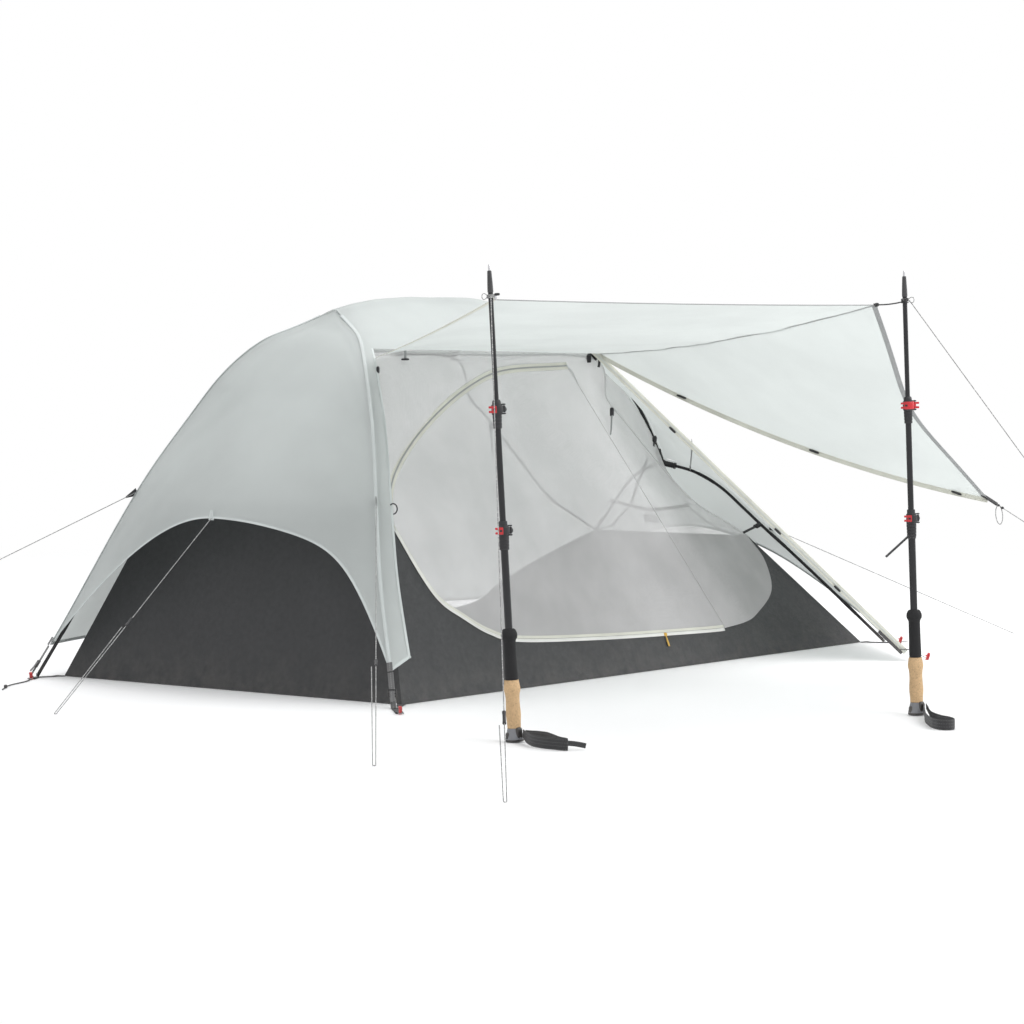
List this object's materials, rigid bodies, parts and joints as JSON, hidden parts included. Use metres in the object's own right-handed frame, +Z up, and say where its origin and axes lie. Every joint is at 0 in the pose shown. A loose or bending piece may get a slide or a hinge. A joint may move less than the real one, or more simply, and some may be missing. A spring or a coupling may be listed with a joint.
{
  "type": "backpacking tent",
  "caption": "Backpacking tent pitched on a hubbed pole frame: mesh inner with a D-shaped door, flysheet with its door held out as an awning on trekking poles, ground straps and guy lines",
  "frame": {"origin": "middle of the underside of the tent floor, on the ground", "axes": "+X towards the foot end, -X towards the head end, -Y out of the door under the awning, +Z up"},
  "size_m": [3.8575, 3.2718, 1.0521],
  "materials": {
    "fly_cloth": "coated silnylon, pale grey-green",
    "webbing": "woven webbing, black",
    "pole_alloy": "anodised black",
    "cork": "cork, natural",
    "yellow_pull": "braided cord pull, yellow",
    "foam": "closed-cell foam, black",
    "black_plastic": "moulded, fine texture",
    "guy_cord": "braided cord, grey",
    "black_cloth": "coated polyester, black",
    "red_plastic": "moulded, satin red",
    "mesh_cloth": "fine no-see-um netting"
  },
  "bodies": {
    "tent": {"awning": "fly_cloth", "awning_loop_1": "webbing", "awning_loop_2": "webbing", "brow_pole": "pole_alloy", "cork_grip_1": "cork", "cork_grip_2": "cork", "fly_back": "fly_cloth", "fly_foot": "fly_cloth", "fly_head": "fly_cloth", "fly_roof": "fly_cloth", "fly_strip": "fly_cloth", "fly_wing": "fly_cloth", "foam_grip_1": "foam", "foam_grip_2": "foam", "foot_hub": "black_plastic", "foot_leg_back": "pole_alloy", "foot_leg_front": "pole_alloy", "foot_strap_back": "webbing", "foot_strap_front": "webbing", "guy_line_1": "guy_cord", "guy_line_2": "guy_cord", "guy_line_3": "guy_cord", "guy_line_4": "guy_cord", "guy_line_5": "guy_cord", "guy_line_6": "guy_cord", "guy_line_7": "guy_cord", "head_hub": "black_plastic", "head_leg_back": "pole_alloy", "head_leg_front": "pole_alloy", "head_strap_back": "webbing", "head_strap_front": "webbing", "inner_floor": "black_cloth", "lower_lock_1": "black_plastic", "lower_lock_2": "black_plastic", "lower_shaft_1": "pole_alloy", "lower_shaft_2": "pole_alloy", "mesh_back": "mesh_cloth", "mesh_canopy": "mesh_cloth", "mesh_front": "mesh_cloth", "mesh_head": "mesh_cloth", "ridge_pole": "pole_alloy", "wall_back": "black_cloth", "wall_foot": "black_cloth", "wall_front": "black_cloth", "wall_head": "black_cloth"},
    "pole_1_middle": {"middle_shaft_1": "pole_alloy", "upper_lock_1": "black_plastic"},
    "pole_1_tip": {"tip_section_1": "pole_alloy"},
    "pole_1_lower_lever": {"lower_lever_1": "red_plastic"},
    "pole_1_upper_lever": {"upper_lever_1": "red_plastic"},
    "pole_2_middle": {"middle_shaft_2": "pole_alloy", "upper_lock_2": "black_plastic"},
    "pole_2_tip": {"tip_section_2": "pole_alloy"},
    "pole_2_lower_lever": {"lower_lever_2": "red_plastic"},
    "pole_2_upper_lever": {"upper_lever_2": "red_plastic"},
    "inner_door": {"mesh_door": "mesh_cloth"},
    "door_zip_slider": {"door_zip_slider": "yellow_pull"},
    "tensioner_1": {"tensioner_1": "black_plastic"},
    "tensioner_2": {"tensioner_2": "black_plastic"},
    "tensioner_3": {"tensioner_3": "black_plastic"}
  },
  "joints": [
    {"name": "pole_1_middle_slide", "type": "slide", "parent": "tent", "child": "pole_1_middle", "axis": [-0.0332, 0.0427, 0.9985], "range_m": [-0.18, 0.1]},
    {"name": "pole_1_tip_slide", "type": "slide", "parent": "pole_1_middle", "child": "pole_1_tip", "axis": [-0.0332, 0.0427, 0.9985], "range_m": [-0.2, 0.05]},
    {"name": "pole_1_lower_lever_hinge", "type": "hinge", "parent": "tent", "child": "pole_1_lower_lever", "pos_m": [-1.50657, -1.24506, 0.46827], "axis": [-0.0332, 0.0427, 0.9985], "range_deg": [0, 100]},
    {"name": "pole_1_upper_lever_hinge", "type": "hinge", "parent": "pole_1_middle", "child": "pole_1_upper_lever", "pos_m": [-1.51544, -1.23366, 0.73488], "axis": [-0.0332, 0.0427, 0.9985], "range_deg": [0, 100]},
    {"name": "pole_2_middle_slide", "type": "slide", "parent": "tent", "child": "pole_2_middle", "axis": [-0.0209, 0.0285, 0.9994], "range_m": [-0.18, 0.1]},
    {"name": "pole_2_tip_slide", "type": "slide", "parent": "pole_2_middle", "child": "pole_2_tip", "axis": [-0.0209, 0.0285, 0.9994], "range_m": [-0.2, 0.05]},
    {"name": "pole_2_lower_lever_hinge", "type": "hinge", "parent": "tent", "child": "pole_2_lower_lever", "pos_m": [-0.4998, -1.68771, 0.46799], "axis": [-0.0209, 0.0285, 0.9994], "range_deg": [0, 100]},
    {"name": "pole_2_upper_lever_hinge", "type": "hinge", "parent": "pole_2_middle", "child": "pole_2_upper_lever", "pos_m": [-0.50538, -1.6801, 0.73482], "axis": [-0.0209, 0.0285, 0.9994], "range_deg": [0, 100]},
    {"name": "door_hinge", "type": "hinge", "parent": "tent", "child": "inner_door", "pos_m": [0.42, -0.53216, 0.085], "axis": [-0.4114, 0.3375, 0.8467], "range_deg": [0, 25]},
    {"name": "zip_slide", "type": "slide", "parent": "tent", "child": "door_zip_slider", "axis": [0.9994, -0.0166, -0.0301], "range_m": [-0.27, 0.06]},
    {"name": "tensioner_1_slide", "type": "slide", "parent": "tent", "child": "tensioner_1", "axis": [-0.8159, -0.0899, -0.5712], "range_m": [-0.06, 0.06]},
    {"name": "tensioner_2_slide", "type": "slide", "parent": "tent", "child": "tensioner_2", "axis": [-0.7241, -0.6022, -0.3362], "range_m": [-0.06, 0.06]},
    {"name": "tensioner_3_slide", "type": "slide", "parent": "tent", "child": "tensioner_3", "axis": [-0.538, -0.4449, -0.7159], "range_m": [-0.06, 0.06]}
  ]
}
